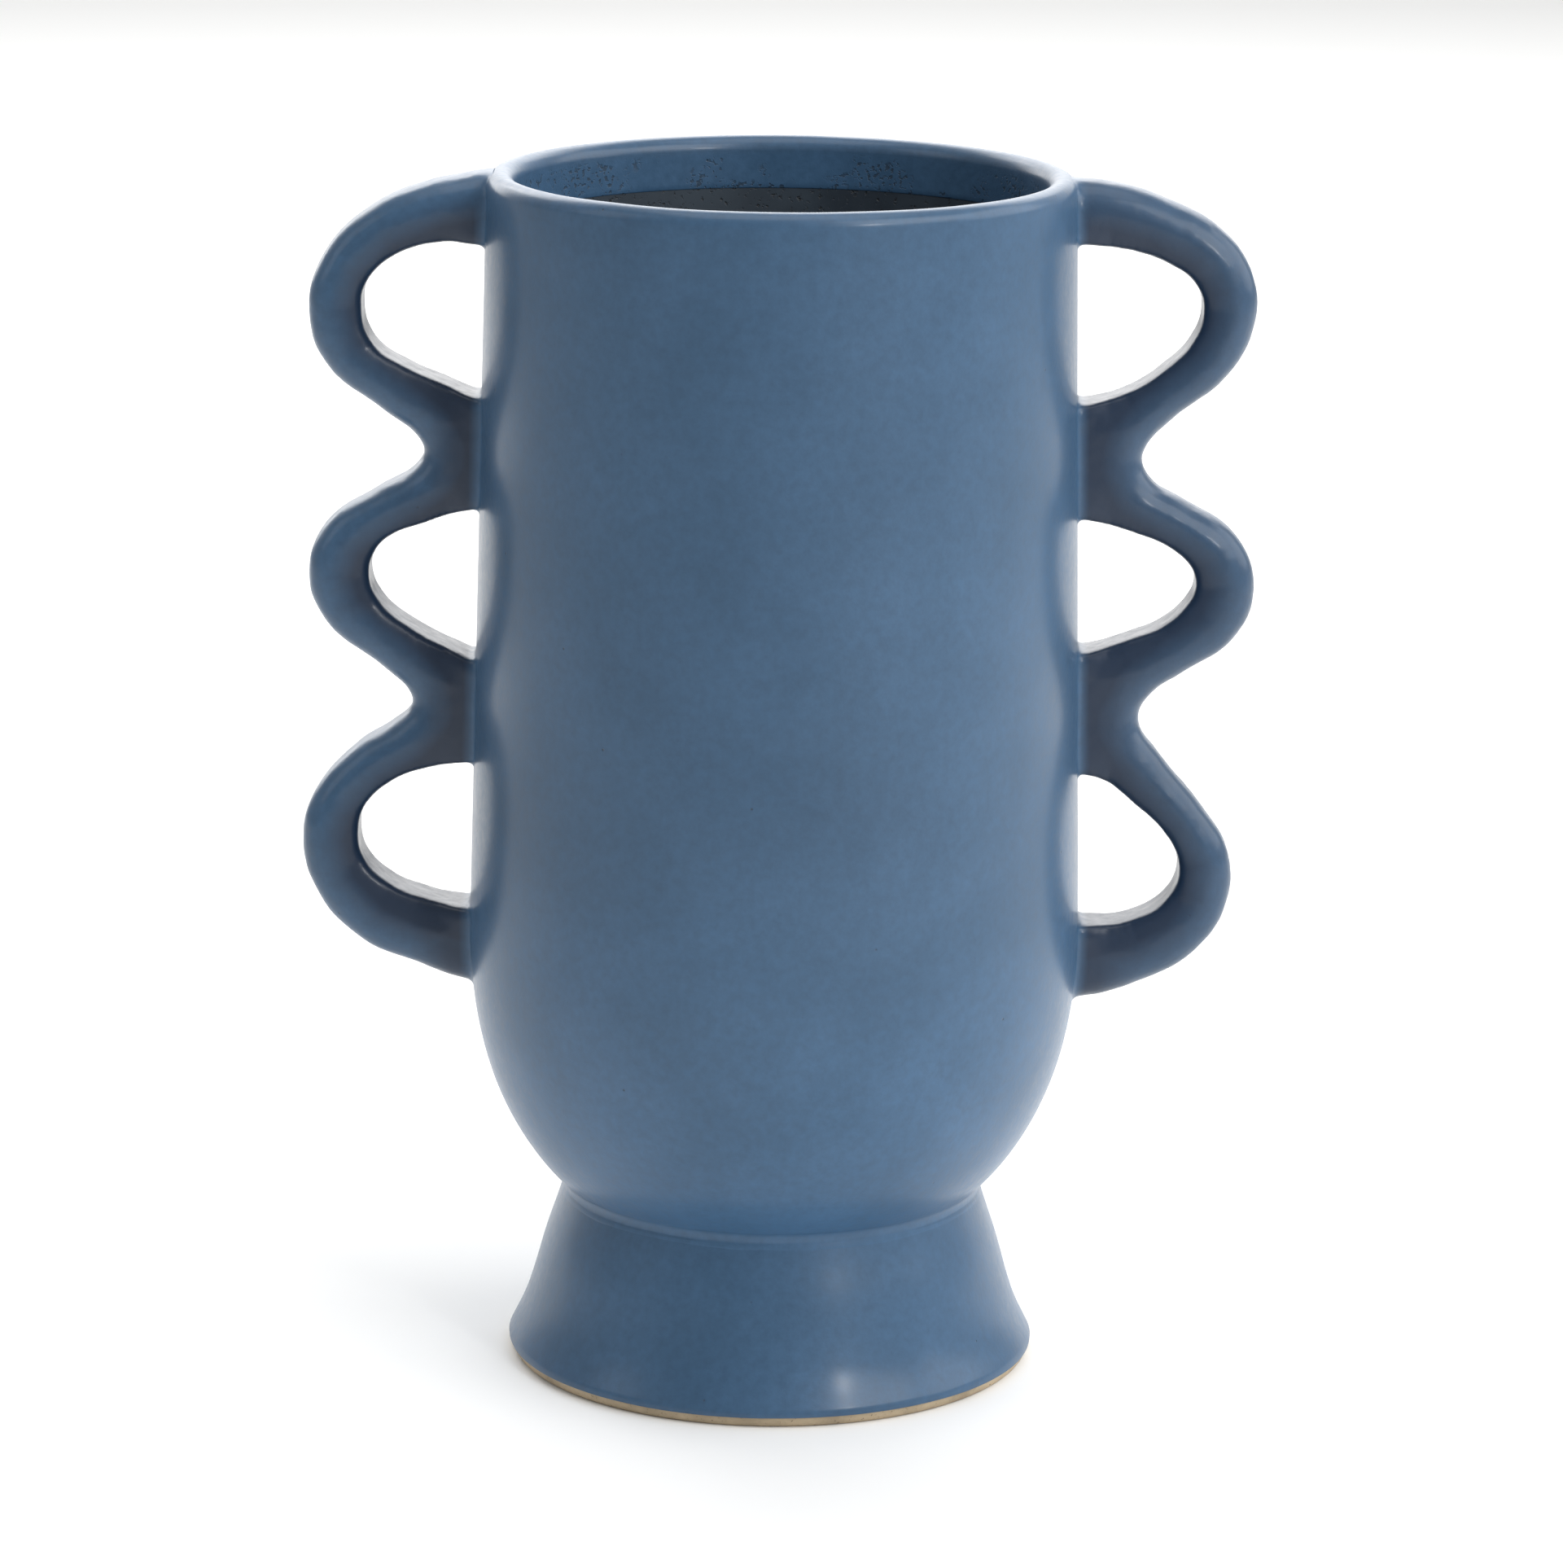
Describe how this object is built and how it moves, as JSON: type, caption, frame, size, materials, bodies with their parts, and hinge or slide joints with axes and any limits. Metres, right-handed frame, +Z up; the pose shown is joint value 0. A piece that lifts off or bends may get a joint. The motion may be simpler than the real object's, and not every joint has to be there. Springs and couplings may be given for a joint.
{
  "type": "amphora vase",
  "caption": "Footed cylindrical stoneware vase with a rounded bowl base, a flared hollow foot and wavy looped strap handles luted to its sides, satin blue glaze.",
  "frame": {"origin": "centre of the foot's underside, on the surface the vase stands on", "axes": "+Z up along the vessel's axis, +X towards the right handle, -Y towards the viewer; the handles lie in the XZ plane"},
  "size_m": [0.2202, 0.1424, 0.28],
  "materials": {
    "blue_glaze": "satin slate-blue stoneware glaze",
    "bare_clay": "unglazed fired stoneware and slip, matt"
  },
  "bodies": {
    "root": {"vessel_body": "blue_glaze", "foot": "blue_glaze", "foot_slip_ring": "bare_clay", "handle_left": "blue_glaze", "slip_left_root_1": "bare_clay", "slip_left_root_2": "bare_clay", "slip_left_root_3": "bare_clay", "slip_left_root_4": "bare_clay", "handle_right": "blue_glaze", "slip_right_root_1": "bare_clay", "slip_right_root_2": "bare_clay", "slip_right_root_3": "bare_clay", "slip_right_root_4": "bare_clay"}
  },
  "joints": []
}
